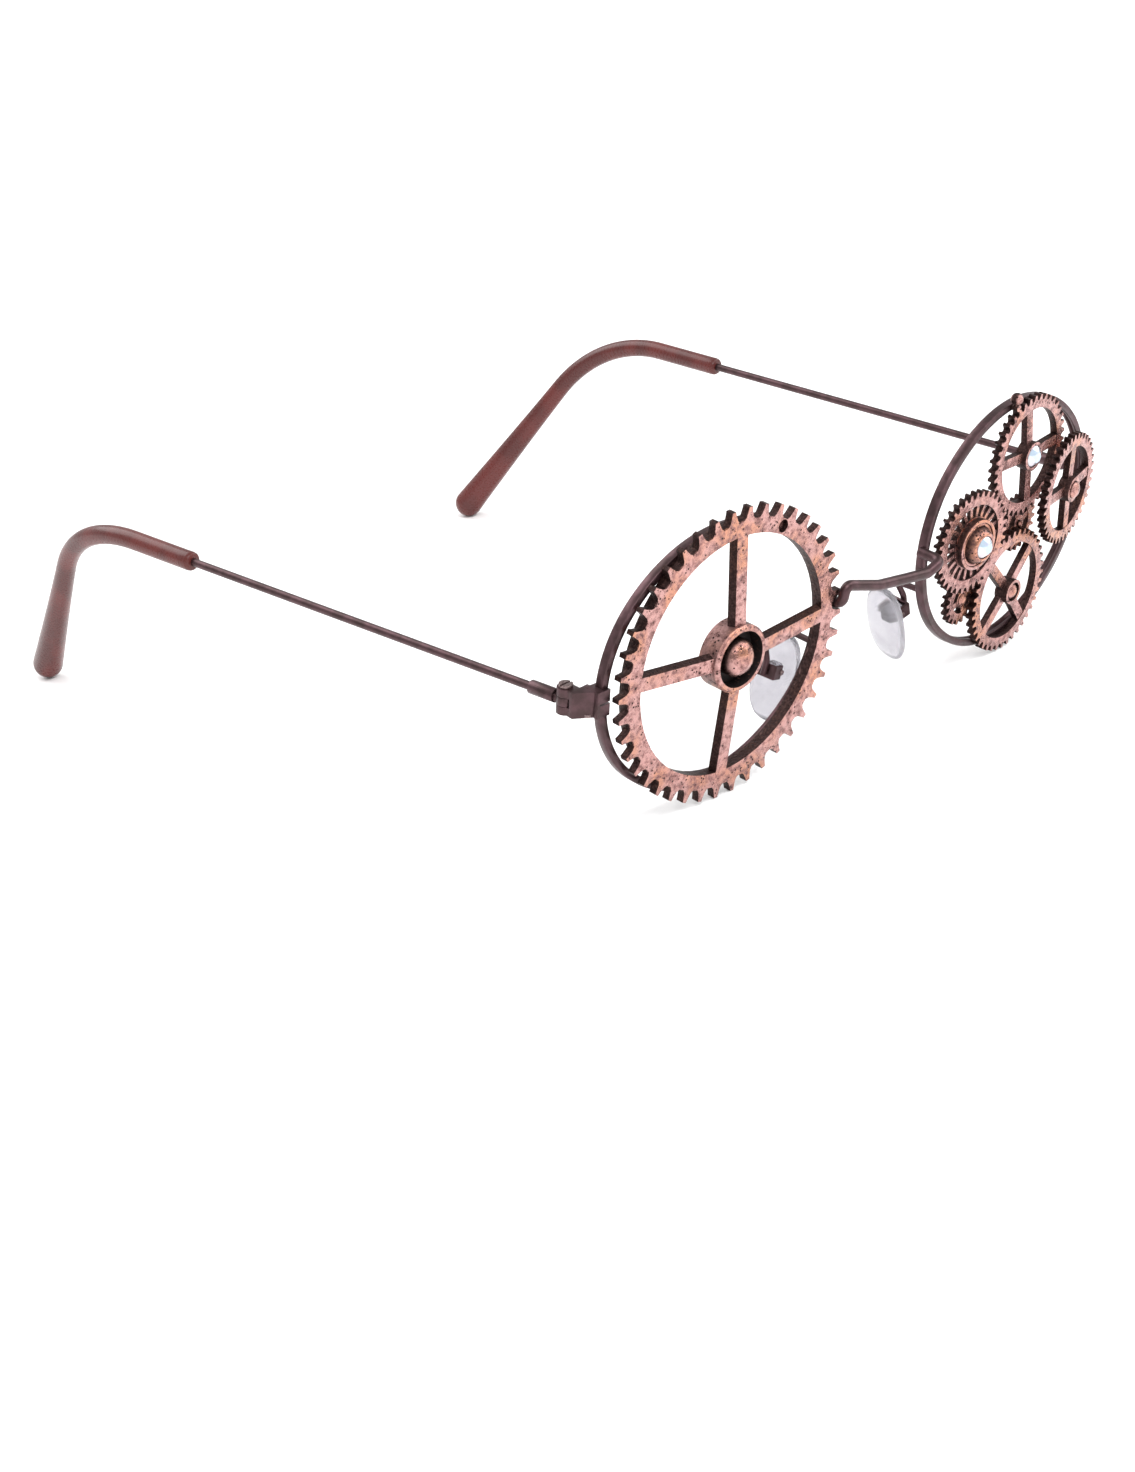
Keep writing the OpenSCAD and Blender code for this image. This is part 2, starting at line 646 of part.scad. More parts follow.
// The capped gear: a toothed ring, fine bars and a disc that carries the cap
module capped_gear() {
    inner = capped_r - tooth_h - ring_w;
    color("#c98a76") capped_place() {
        toothed_ring(capped_r, small_teeth - 4, tooth_h, small_tip_share, 6, gear_t, inner);
        for (i = [1:capped_bars]) rotate(360 * i / capped_bars)
            translate([cap_r - 0.3, -0.3, 0.3]) cube([inner + 0.6 - cap_r, 0.6, 0.7]);
        cylinder(r = cap_r, h = gear_t - 0.1);
    }
}

module gear_cap() {
    dome_r = cap_r - 1.2;
    color("#c98a76") capped_place() translate([0, 0, gear_t - 0.1]) difference() {
        union() {
            cylinder(r = cap_r - 0.1, h = 0.9);
            difference() {
                cylinder(r = cap_r - 0.1, h = 1.3);
                translate([0, 0, 0.5]) cylinder(r = cap_r - 0.1 - cap_lip, h = 1);
            }
            translate([0, 0, 0.9]) intersection() {
                dome(dome_r, 2.6);
                cylinder(r = dome_r, h = 1.7);
            }
        }
        translate([0, 0, 1.8]) cylinder(d = crystal_d + 2 * fit_gap, h = 2);
    }
}

module cap_crystal() {
    color("#d6e8f4") capped_place() translate([0, 0, gear_t - 0.1 + 1.8]) crystal();
}

module outer_gear() {
    color("#c98a76") outer_place() difference() {
        spoked_gear(outer_r, outer_spokes, rivet_hub_r);
        translate([0, 0, -1]) cylinder(r = 0.6 + fit_gap, h = hub_h + 2);
    }
}

module outer_rivet() {
    color("#c98a76") outer_place() rivet(1.5, 0.8, 0.1, 0.6, hub_h);
}

// The bottom gear's hub has a raised edge round its rivet
module bottom_gear() {
    color("#c98a76") at_rim(LEFT) gear_place(bottom_at) difference() {
        union() {
            spoked_gear(bottom_r, bottom_spokes, rivet_hub_r);
            cylinder(r = rivet_hub_r, h = hub_h + 0.2);
        }
        translate([0, 0, hub_h - 0.5]) cylinder(r = rivet_hub_r - 0.5, h = 2);
        translate([0, 0, -1]) cylinder(r = 0.6 + fit_gap, h = 4);
    }
}

module bottom_rivet() {
    color("#c98a76") at_rim(LEFT) gear_place(bottom_at) rivet(1.3, 0.7, 0.3, 0.6, hub_h - 0.5);
}

// The little and middle gears lie on the backs of the others
module back_gear(at, r, teeth) {
    color("#c98a76") at_rim(LEFT) translate([0, gear_t - 0.1, 0]) gear_place(at) difference() {
        union() {
            toothed_ring(r, teeth, tooth_h, small_tip_share, 6, gear_t - 0.1, r - 1.9);
            for (i = [0:3]) rotate(90 * i + 20)
                translate([0, -0.5, 0.1]) cube([r - 1.7, 1, gear_t - 0.3]);
            cylinder(r = 1.4, h = gear_t - 0.1);
        }
        translate([0, 0, -1]) cylinder(r = 0.5 + fit_gap, h = 4);
    }
}

module back_rivet(at, head_r) {
    color("#c98a76") at_rim(LEFT) translate([0, gear_t - 0.1, 0]) gear_place(at)
        rivet(head_r, 0.5, 0.1, 0.5, gear_t - 0.1);
}

// A ball on a bent peg, soldered to the rim's front beside the top gear
module ball_peg() {
    seat_r = rim_wire / 2 - 0.05;
    seat = [ball_at.x + 0.3, 0, rim_half_h];
    color("#c98a76") at_rim(LEFT) {
        translate(seat) upright() cylinder(r = seat_r, h = gear_t);
        rod(seat + [0, -gear_t / 2, 0], [ball_at.x, -0.9, ball_at.y], 0.8);
        translate([ball_at.x, -0.9, ball_at.y]) sphere(d = ball_d);
    }
}

rim(RIGHT);  // right_rim
rim(LEFT);  // left_rim
bridge_wire();
end_piece(RIGHT);  // right_end_piece
end_piece(LEFT);  // left_end_piece
closing_screw(RIGHT);  // right_closing_screw
closing_screw(LEFT);  // left_closing_screw
hinge_screw(RIGHT);  // right_hinge_screw
hinge_screw(LEFT);  // left_hinge_screw
pad_arm(RIGHT);  // right_pad_arm
pad_arm(LEFT);  // left_pad_arm
pad_screw(RIGHT);  // right_pad_screw
pad_screw(LEFT);  // left_pad_screw
nose_pad(RIGHT);  // right_nose_pad
nose_pad(LEFT);  // left_nose_pad
temple_hinge(RIGHT);  // right_temple_hinge
temple_hinge(LEFT);  // left_temple_hinge
temple_wire(RIGHT);  // right_temple_wire
temple_wire(LEFT);  // left_temple_wire
temple_tip(RIGHT);  // right_temple_tip
temple_tip(LEFT);  // left_temple_tip
big_gear();
big_gear_rivet();
top_gear();
top_crystal();
capped_gear();
gear_cap();
cap_crystal();
outer_gear();
outer_rivet();
bottom_gear();
bottom_rivet();
back_gear(little_at, little_r, 18);  // little_gear
back_rivet(little_at, 1);  // little_rivet
back_gear(middle_at, middle_r, 20);  // middle_gear
back_rivet(middle_at, 0.55);  // middle_rivet
ball_peg();
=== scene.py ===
"""Looks of round wire spectacles dressed with clock gears.

Lengths are in millimetres until a mesh is made. Three local frames carry the work: the rim's
(middle of a rim's front face, x outward, y back, z up), the temple's (hinge screw, y along the
wire) and the pad's (pad screw, x away from the nose, z up the pad).
"""
import json
import math
import bmesh
import bpy
from mathutils import Matrix, Vector

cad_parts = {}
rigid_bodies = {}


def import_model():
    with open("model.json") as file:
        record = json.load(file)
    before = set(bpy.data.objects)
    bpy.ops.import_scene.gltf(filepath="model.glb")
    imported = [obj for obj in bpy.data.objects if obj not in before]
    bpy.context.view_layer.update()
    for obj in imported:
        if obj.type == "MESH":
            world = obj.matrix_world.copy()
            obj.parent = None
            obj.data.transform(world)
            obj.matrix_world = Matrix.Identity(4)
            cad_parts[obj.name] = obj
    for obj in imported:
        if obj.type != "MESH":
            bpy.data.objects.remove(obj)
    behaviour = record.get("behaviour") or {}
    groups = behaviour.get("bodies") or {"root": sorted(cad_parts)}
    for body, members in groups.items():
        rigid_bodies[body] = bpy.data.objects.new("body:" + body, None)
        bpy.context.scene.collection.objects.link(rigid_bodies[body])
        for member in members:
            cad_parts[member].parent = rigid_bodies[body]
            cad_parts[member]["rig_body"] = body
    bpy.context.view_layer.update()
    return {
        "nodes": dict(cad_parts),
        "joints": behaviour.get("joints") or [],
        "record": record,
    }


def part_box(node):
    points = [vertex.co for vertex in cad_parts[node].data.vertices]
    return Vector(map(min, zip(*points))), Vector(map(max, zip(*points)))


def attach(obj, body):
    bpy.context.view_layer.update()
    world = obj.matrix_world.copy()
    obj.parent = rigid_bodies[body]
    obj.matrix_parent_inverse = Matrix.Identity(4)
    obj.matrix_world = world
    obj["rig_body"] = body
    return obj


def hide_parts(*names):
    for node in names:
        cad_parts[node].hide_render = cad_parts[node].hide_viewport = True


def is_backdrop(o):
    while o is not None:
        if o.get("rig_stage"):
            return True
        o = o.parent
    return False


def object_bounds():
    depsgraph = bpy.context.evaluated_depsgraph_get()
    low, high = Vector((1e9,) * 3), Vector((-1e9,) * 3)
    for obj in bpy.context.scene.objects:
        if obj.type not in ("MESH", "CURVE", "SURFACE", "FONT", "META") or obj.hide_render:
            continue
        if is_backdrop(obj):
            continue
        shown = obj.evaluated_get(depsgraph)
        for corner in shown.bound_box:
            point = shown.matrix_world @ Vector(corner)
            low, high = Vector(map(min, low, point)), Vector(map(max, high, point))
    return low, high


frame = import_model()
MM = 0.001
RIGHT, LEFT = -1, 1
SIDE_NAMES = {RIGHT: "right", LEFT: "left"}

# Sizes shared with the solids
RIM_SPACING = 70.6
RIM_HALF_W, RIM_HALF_H = 22.7, 20.3
RIM_WIRE, RIM_DEPTH = 1.2, 1.5
FACE_FORM = 3.2
BRIDGE_D, BRIDGE_FORWARD, BRIDGE_UP = 1.7, 3.8, 2.1
BRIDGE_KICK, BRIDGE_RISE, BRIDGE_DIP = 3.0, 0.9, 1.0
HINGE = Vector((61.4, 5.5, 0.25))
TEMPLE_LEN, TEMPLE_FALL = 76.6, 3.3
SPLAY = {RIGHT: 2.5, LEFT: -1.4}
TIP_START_R, TIP_BENT_R, TIP_END_R = 1.55, 1.63, 2.6
TIP_STRAIGHT, TIP_BEND_R, TIP_BEND = 13.7, 26.3, 57.0
TIP_DROP, TIP_LEAN = 32.0, 17.0
PAD_AT = Vector((15.4 - RIM_SPACING / 2, 6.7, -11.2))
PAD_SLANT, PAD_SPLAY = 16.0, 9.0
PAD_LEN, PAD_W, PAD_OFF, PAD_LOW = 14.2, 8.4, 1.9, 1.4
PAD_ARM_R, PAD_ARM_X, PAD_ARM_DOWN = 0.5, 2.3, 5.0
CRYSTAL_R, CRYSTAL_SUNK = 1.8, 0.8
BIG_AT = Vector((-1.4, 0, 0.45))
BIG_HUB_R, BIG_RECESS_R, BIG_FLOOR_T = 5.3, 4.4, 1.3

# The bridge's bends: the extra bow of each side, the kick's run inward, the shares of the half span
# where the rise and the dip lie, and how far its struts lie past the rims' wire
BRIDGE_BOW = {RIGHT: 0.3, LEFT: 1.0}
BRIDGE_KICK_IN, BRIDGE_RISE_AT, BRIDGE_DIP_AT = 0.5, 1 / 3, 0.7
STRUT_PAST = 0.285

# Angles in degrees: where shading turns sharp, where an edge is rounded, and what counts as flat
SHARP_ANGLE, EDGE_ANGLE, FLAT_ANGLE = 50, 38, 0.8
WELD_M = 1e-7

# Roundings of the bent wires, the pad's boss and bracket, and the solids' edges
WIRE_CORNER_R = 1.6
PAD_BOSS_ROUND, BRACKET_ROUND = 0.45, 0.16
EDGE_WIDTHS = {
    "big_gear": 0.16, "big_gear_rivet": 0.1, "top_gear": 0.12, "capped_gear": 0.1,
    "gear_cap": 0.14, "outer_gear": 0.12, "outer_rivet": 0.1, "bottom_gear": 0.12,
    "bottom_rivet": 0.1, "little_gear": 0.1, "middle_gear": 0.1,
    "right_end_piece": 0.14, "left_end_piece": 0.14,
    "right_temple_hinge": 0.1, "left_temple_hinge": 0.1,
    "right_rim": 0.12, "left_rim": 0.12,
    "right_hinge_screw": 0.06, "left_hinge_screw": 0.06,
    "right_pad_screw": 0.05, "left_pad_screw": 0.05,
}

# The temple tip's rolled collar: distance along the tip and radius
TIP_COLLAR = ((0.0, 1.0), (0.05, 1.3), (0.3, 1.48), (0.8, 1.56), (2.0, TIP_START_R))

# The nose pad's profile: share of the outline, and depth toward the pad's screw
PAD_LAYERS = ((0.04, -0.95), (0.4, -0.92), (0.72, -0.78), (0.9, -0.5), (0.985, -0.12), (1.0, 0.15),
              (0.97, 0.45), (0.88, 0.66), (0.8, 0.7), (0.72, 0.6), (0.4, 0.58), (0.04, 0.58))
PAD_BOSS = ((-1.35, -1.08, -1.15), (1.1, 1.08, 1.15))

# The pad's bracket: low and high corners of its plates in the pad's frame
BRACKET = {
    "bracket_back": ((1.4, -1.72, -1.15), (1.9, 1.72, 1.15)),
    "bracket_front_ear": ((-0.2, -1.72, -1.15), (1.6, -1.24, 1.15)),
    "bracket_rear_ear": ((-0.2, 1.24, -1.15), (1.6, 1.72, 1.15)),
}

# The crystal's facets: corners in the ring, share of its radius, height, and turn in steps
CRYSTAL_RINGS = ((16, 1.0, 0.0, 0), (16, 1.0, 0.75, 0), (8, 0.82, 1.15, 0.5), (8, 0.5, 1.6, 0))

# The studio's lights: place and target in metres, side of the square and power
LIGHTS = {
    "key": ((-0.35, -0.55, 0.85), (0, 0.03, 0), 0.6, 6.5),
    "fill": ((0.75, -0.35, 0.55), (0, 0.03, 0), 0.7, 4.0),
    "spark": ((0.30, -0.50, 0.70), (0, 0, 0), 0.12, 1.2),
    "back": ((-0.1, 0.9, 0.8), (0.1, 0.3, 0), 0.9, 8.0),
}
FLOOR_REACH = 3.0

# The camera in the frame of the rims, found from the photograph, and its lens in pixels
CAMERA_AT = Vector((-331.7, -242.4, 193.3))
CAMERA_AZIMUTH, CAMERA_ELEVATION, CAMERA_ROLL = -47.556, 28.476, 2.27
CAMERA_FOCAL_PX, IMAGE_HEIGHT_PX, SENSOR_MM = 2956.75, 1472, 36


def turn(axis, degrees):
    return Matrix.Rotation(math.radians(degrees), 4, axis)


def stand_frame():
    """The frame of the rims, which leans forward as the spectacles stand."""
    joint = next(j for j in frame["joints"] if j["name"] == "left_temple_fold")
    up = Vector(joint["axis"])
    return turn("X", math.degrees(math.atan2(-up.y, up.z)))


STAND = stand_frame()
FRONT_OF_RIMS = STAND.to_3x3() @ Vector((0, -1, 0))


def side_frame(side):
    return STAND @ Matrix.Scale(side, 4, Vector((1, 0, 0)))


def rim_frame(side):
    return side_frame(side) @ Matrix.Translation((RIM_SPACING / 2, 0, 0)) @ turn("Z", FACE_FORM)


def temple_frame(side):
    swing = turn("Z", -SPLAY[side]) @ turn("X", -TEMPLE_FALL)
    return side_frame(side) @ Matrix.Translation(HINGE) @ swing


def pad_frame(side):
    return rim_frame(side) @ Matrix.Translation(PAD_AT) @ turn("Y", -PAD_SLANT) @ turn("Z", -PAD_SPLAY)


# Mesh helpers

def link_new(name, data):
    """A new object in the scene."""
    thing = bpy.data.objects.new(name, data)
    bpy.context.scene.collection.objects.link(thing)
    return thing


def add_mesh(name, points, faces, place, material):
    """A smooth mesh object from points in millimetres in a local frame."""
    mesh = bpy.data.meshes.new(name)
    mesh.from_pydata([(place @ Vector(p)) * MM for p in points], [], faces)
    tool = bmesh.new()
    tool.from_mesh(mesh)
    bmesh.ops.recalc_face_normals(tool, faces=tool.faces)
    tool.to_mesh(mesh)
    tool.free()
    for face in mesh.polygons:
        face.use_smooth = True
    mesh.set_sharp_from_angle(angle=math.radians(SHARP_ANGLE))
    mesh.materials.append(material)
    return link_new(name, mesh)


def round_edges(piece, width_mm, segments):
    """A bevel on the piece's edges."""
    bevel = piece.modifiers.new("edges", "BEVEL")
    bevel.width = width_mm * MM
    bevel.segments = segments
    return bevel


def box_mesh(name, ends, place, material, round_mm):
    """A box with rounded edges between its low and high corners."""
    low, high = ends
    points = [(x, y, z) for x in (low[0], high[0]) for y in (low[1], high[1]) for z in (low[2], high[2])]
    faces = [(0, 1, 3, 2), (4, 6, 7, 5), (0, 4, 5, 1), (2, 3, 7, 6), (0, 2, 6, 4), (1, 5, 7, 3)]
    piece = add_mesh(name, points, faces, place, material)
    round_edges(piece, round_mm, 4)
    return piece


def fit_in(piece, body, node):
    """Rides the piece on its body, in place of the CAD node."""
    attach(piece, body)
    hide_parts(node)
    return piece


def stacked_faces(layers, sides):
    """Faces over layers of points with the same number of sides, closed at both ends."""
    faces = []
    for i in range(layers - 1):
        for k in range(sides):
            n = (k + 1) % sides
            faces.append((i * sides + k, i * sides + n, (i + 1) * sides + n, (i + 1) * sides + k))
    faces.append(tuple(range(sides)))
    faces.append(tuple((layers - 1) * sides + k for k in range(sides)))
    return faces


def tube_mesh(path, radii, sides):
    """Points and faces of a round tube along a path, closed at both ends."""
    points = []
    across = (path[1] - path[0]).orthogonal().normalized()
    for i, centre in enumerate(path):
        ahead = (path[min(i + 1, len(path) - 1)] - path[max(i - 1, 0)]).normalized()
        across = (across - ahead * across.dot(ahead)).normalized()
        aside = ahead.cross(across)
        for k in range(sides):
            a = 2 * math.pi * k / sides
            points.append(centre + radii[i] * (math.cos(a) * across + math.sin(a) * aside))
    return points, stacked_faces(len(path), sides)


def rounded_path(corners, radius):
    """Points along straight runs whose corners are rounded to the given radius."""
    step, longest_cut = 0.15, 0.48
    path = [corners[0]]
    for before, corner, after in zip(corners, corners[1:], corners[2:]):
        back, on = (before - corner).normalized(), (after - corner).normalized()
        half = back.angle(on) / 2
        shorter = min((before - corner).length, (after - corner).length)
        cut = min(radius / math.tan(half), longest_cut * shorter)
        start, end = corner + back * cut, corner + on * cut
        count = max(4, int(cut / step))
        for i in range(count + 1):
            t = i / count
            path.append(start * (1 - t) ** 2 + corner * 2 * t * (1 - t) + end * t ** 2)
    path.append(corners[-1])
    return path


# Materials

class Paint:
    """A node material under construction."""

    def __init__(self, name):
        self.material = bpy.data.materials.new(name)
        self.material.use_nodes = True
        self.tree = self.material.node_tree
        self.shader = self.tree.nodes["Principled BSDF"]
        self.place = self.add("ShaderNodeTexCoord")

    def add(self, kind, **settings):
        node = self.tree.nodes.new(kind)
        for key, value in settings.items():
            setattr(node, key, value)
        return node

    def link(self, source, target):
        self.tree.links.new(source, target)

    def fill(self, socket, value):
        """Links the socket to another one, or sets it to a constant."""
        if isinstance(value, bpy.types.NodeSocket):
            self.link(value, socket)
        else:
            socket.default_value = value

    def grain(self, per_mm, detail=3.0, rough=0.55):
        """Noise with the given number of features per millimetre."""
        node = self.add("ShaderNodeTexNoise")
        self.link(self.place.outputs["Object"], node.inputs["Vector"])
        node.inputs["Scale"].default_value = per_mm * 1000
        node.inputs["Detail"].default_value = detail
        node.inputs["Roughness"].default_value = rough
        return node.outputs["Fac"]

    def cells(self, per_mm):
        """Distances from scattered points, with the given number of them per millimetre."""
        node = self.add("ShaderNodeTexVoronoi")
        self.link(self.place.outputs["Object"], node.inputs["Vector"])
        node.inputs["Scale"].default_value = per_mm * 1000
        return node.outputs["Distance"]

    def between(self, value, low, high, out_low=0.0, out_high=1.0):
        """Maps low..high smoothly onto out_low..out_high."""
        node = self.add("ShaderNodeMapRange", interpolation_type="SMOOTHSTEP")
        self.fill(node.inputs["Value"], value)
        node.inputs["From Min"].default_value = low
        node.inputs["From Max"].default_value = high
        node.inputs["To Min"].default_value = out_low
        node.inputs["To Max"].default_value = out_high
        return node.outputs["Result"]

    def math(self, operation, a, b):
        node = self.add("ShaderNodeMath", operation=operation)
        node.use_clamp = operation in {"ADD", "MULTIPLY", "SUBTRACT"}
        self.fill(node.inputs[0], a)
        self.fill(node.inputs[1], b)
        return node.outputs[0]

    def mix(self, share, a, b):
        """Goes from colour a to colour b as the share goes from 0 to 1."""
        node = self.add("ShaderNodeMix", data_type="RGBA")
        self.fill(node.inputs["Factor"], share)
        for socket, value in zip(node.inputs[6:8], (a, b)):
            self.fill(socket, value if isinstance(value, bpy.types.NodeSocket) else (*value, 1.0))
        return node.outputs[2]

    def facing(self, direction):
        """How squarely a surface faces along the direction, front or back, from 0 to 1."""
        dot = self.add("ShaderNodeVectorMath", operation="DOT_PRODUCT")
        self.link(self.place.outputs["Normal"], dot.inputs[0])
        dot.inputs[1].default_value = direction
        size = self.add("ShaderNodeMath", operation="ABSOLUTE")
        self.link(dot.outputs["Value"], size.inputs[0])
        return size.outputs[0]

    def shade(self, sockets):
        """Sets the shader's named sockets and hands back the material."""
        for name, value in sockets.items():
            self.fill(self.shader.inputs[name], value)
        return self.material

    def bump(self, height, depth_mm, strength):
        node = self.add("ShaderNodeBump")
        node.inputs["Distance"].default_value = depth_mm * MM
        node.inputs["Strength"].default_value = strength
        self.fill(node.inputs["Height"], height)
        self.link(node.outputs["Normal"], self.shader.inputs["Normal"])


def copper(name, wall_shade_depth, rough=0.27):
    """Pink copper with dark pits and random mottling; faces that turn away from the rims' front get painted
    shade and dark reflection, partly patina, by wall_shade_depth.
    """
    pink, orange = (0.56, 0.315, 0.292), (0.58, 0.275, 0.185)
    dull, black = (0.27, 0.135, 0.125), (0.026, 0.013, 0.012)
    paint = Paint(name)
    broad = paint.grain(0.13, 2.0)
    blotch = paint.grain(0.9, 5.0, 0.7)
    fine = paint.grain(3.0)
    tone = paint.mix(paint.between(broad, 0.44, 0.64), pink, orange)
    bright = paint.mix(paint.between(blotch, 0.38, 0.58), dull, tone)
    # Painted shade and dark reflection, partly patina: faces turned away from the rims' front go toward
    # black by wall_shade_depth
    wall_shade = paint.between(paint.facing(FRONT_OF_RIMS), 0.30, 0.80, wall_shade_depth, 0.0)
    pits = paint.math("MULTIPLY", paint.between(paint.cells(1.5), 0.14, 0.32, 1.0, 0.0),
                      paint.between(paint.grain(0.55, 2.0), 0.44, 0.56))
    worn = paint.between(blotch, 0.42, 0.28, 0.0, 0.75)
    # The painted shade on faces turned from the front, broken up by fine grain
    grained_wall_shade = paint.math("MULTIPLY", wall_shade, paint.between(fine, 0.25, 0.65, 0.9, 1.0))
    dark = paint.math("ADD", paint.math("ADD", grained_wall_shade, pits), worn)
    height = paint.math("SUBTRACT", paint.between(blotch, 0.2, 0.8, 0.5, 0.9),
                        paint.math("MULTIPLY", pits, 0.4))
    paint.bump(height, 0.9 * rough, 1.0)
    return paint.shade({
        "Base Color": paint.mix(dark, bright, black), "Metallic": 0.92,
        "Roughness": paint.between(dark, 0.0, 1.0, rough, 0.5),
    })


def recess_shade():
    """Near-black painted shade in a recess, partly patina, with a few lighter specks."""
    black, speck = (0.018, 0.013, 0.013), (0.20, 0.085, 0.065)
    paint = Paint("copper_recess_shade")
    fine = paint.grain(2.6, 4.0)
    paint.bump(fine, 0.05, 0.6)
    return paint.shade({
        "Base Color": paint.mix(paint.between(fine, 0.58, 0.78), black, speck), "Metallic": 0.6,
        "Roughness": paint.between(fine, 0.3, 0.7, 0.42, 0.6),
    })


def frame_metal():
    """Dark plum-brown plated wire with a satin sheen and faint draw marks."""
    plum, brown = (0.098, 0.054, 0.060), (0.062, 0.037, 0.038)
    paint = Paint("frame_metal")
    fine = paint.grain(4.0, 2.0)
    paint.bump(fine, 0.02, 0.5)
    return paint.shade({
        "Base Color": paint.mix(paint.between(paint.grain(0.4), 0.35, 0.65), plum, brown), "Metallic": 0.85,
        "Roughness": paint.between(fine, 0.3, 0.7, 0.30, 0.42),
    })


def tip_plastic():
    """Dark red-brown moulded plastic, semi-gloss, with a soft unevenness."""
    red, brown = (0.115, 0.023, 0.020), (0.080, 0.018, 0.016)
    paint = Paint("tip_plastic")
    fine = paint.grain(2.2)
    paint.bump(fine, 0.03, 0.35)
    return paint.shade({
        "Base Color": paint.mix(paint.between(paint.grain(0.12, 2.0), 0.4, 0.6), red, brown),
        "Specular IOR Level": 0.35, "Roughness": paint.between(fine, 0.3, 0.7, 0.24, 0.34),
    })


def clear_pad():
    """Clear soft plastic with a pale violet cast."""
    pale, violet = (0.61, 0.595, 0.635), (0.55, 0.54, 0.58)
    paint = Paint("clear_pad")
    haze = paint.grain(0.5, 2.0)
    paint.bump(haze, 0.05, 0.3)
    return paint.shade({
        "Base Color": paint.mix(paint.between(haze, 0.4, 0.6), pale, violet),
        "Transmission Weight": 0.85, "IOR": 1.42, "Roughness": paint.between(haze, 0.3, 0.7, 0.12, 0.22),
    })


def crystal_glass():
    """Coated cut crystal: pale blue, with white painted highlights on the facets turned toward one
    direction, and violet in patches.
    """
    blue, white, violet = (0.62, 0.80, 0.97), (0.96, 0.97, 1.0), (0.80, 0.68, 0.92)
    paint = Paint("crystal")
    # Painted highlight: facets facing along this direction, front or back, go from pale blue to white
    glint_facing = paint.facing(STAND.to_3x3() @ Vector((0.7, 0.2, 0.68)))
    glint_tint = paint.mix(paint.between(glint_facing, 0.15, 0.85), blue, white)
    return paint.shade({
        "Base Color": paint.mix(paint.between(paint.grain(0.9, 1.0), 0.5, 0.7, 0.0, 0.35), glint_tint, violet),
        "Metallic": 0.25, "Transmission Weight": 0.35, "Roughness": 0.04, "Coat Weight": 1.0,
    })


def screw_metal():
    """Dark plated steel, a little brighter than the wire where a driver has scuffed it."""
    plated, bare = (0.16, 0.11, 0.11), (0.30, 0.23, 0.22)
    paint = Paint("screw_metal")
    fine = paint.grain(5.0)
    paint.bump(fine, 0.015, 0.5)
    return paint.shade({
        "Base Color": paint.mix(paint.between(fine, 0.4, 0.65), plated, bare), "Metallic": 0.95,
        "Roughness": paint.between(fine, 0.3, 0.7, 0.25, 0.4),
    })


MATERIALS = {
    "antique_copper": copper("antique_copper", 1.0),
    "frame_metal": frame_metal(),
    "tip_plastic": tip_plastic(),
    "clear_pad": clear_pad(),
    "crystal": crystal_glass(),
    "screw_metal": screw_metal(),
}
# A copy of the copper with less painted shade on faces turned from the front, for the hub
LIGHT_SHADE_COPPER = copper("copper_light_painted_shade", 0.6)
# Polished copper: low roughness, with nearly the full painted shade on faces turned from the front
POLISHED_COPPER = copper("polished_copper", 0.95, 0.1)
# Near-black painted shade for the hub's recess, partly patina
RECESS_SHADE_COPPER = recess_shade()
SLOT_OF = {part["node"]: part["material_slot"] for part in frame["record"]["subparts"]}


# Pieces

def soften(node, width_mm, material):
    """A copy of a CAD node with its machined edges rounded, in place of the node."""
    source = frame["nodes"][node]
    mesh = source.data.copy()
    tool = bmesh.new()
    tool.from_mesh(mesh)
    bmesh.ops.remove_doubles(tool, verts=tool.verts, dist=WELD_M)
    bmesh.ops.dissolve_limit(tool, angle_limit=math.radians(FLAT_ANGLE), verts=tool.verts, edges=tool.edges)
    tool.to_mesh(mesh)
    tool.free()
    mesh.materials.clear()
    mesh.materials.append(material)
    for face in mesh.polygons:
        face.use_smooth = True
    piece = link_new(node + "_finish", mesh)
    bevel = round_edges(piece, width_mm, 2)
    bevel.limit_method = "ANGLE"
    bevel.angle_limit = math.radians(EDGE_ANGLE)
    bevel.harden_normals = True
    return fit_in(piece, source["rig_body"], node)


def bridge():
    """The unevenly bent bridge wire, with its corners rounded."""
    strut_x = RIM_HALF_W + RIM_WIRE / 2 + STRUT_PAST
    foot_x = RIM_SPACING / 2 - strut_x * math.cos(math.radians(FACE_FORM))
    foot_y = RIM_DEPTH / 2 - strut_x * math.sin(math.radians(FACE_FORM))
    right_y, left_y = -BRIDGE_FORWARD - BRIDGE_BOW[RIGHT], -BRIDGE_FORWARD - BRIDGE_BOW[LEFT]
    corners = [Vector(p) for p in (
        (-foot_x, foot_y, BRIDGE_UP), (-foot_x, right_y, BRIDGE_UP),
        (BRIDGE_KICK_IN - foot_x, right_y, BRIDGE_UP + BRIDGE_KICK),
        (-foot_x * BRIDGE_RISE_AT, left_y, BRIDGE_UP + BRIDGE_RISE),
        (foot_x * BRIDGE_DIP_AT, left_y, BRIDGE_UP - BRIDGE_DIP),
        (foot_x, left_y, BRIDGE_UP), (foot_x, foot_y, BRIDGE_UP),
    )]
    path = rounded_path(corners, WIRE_CORNER_R)
    points, faces = tube_mesh(path, [BRIDGE_D / 2] * len(path), 28)
    piece = add_mesh("bridge", points, faces, STAND, MATERIALS["frame_metal"])
    fit_in(piece, "frame", "bridge_wire")


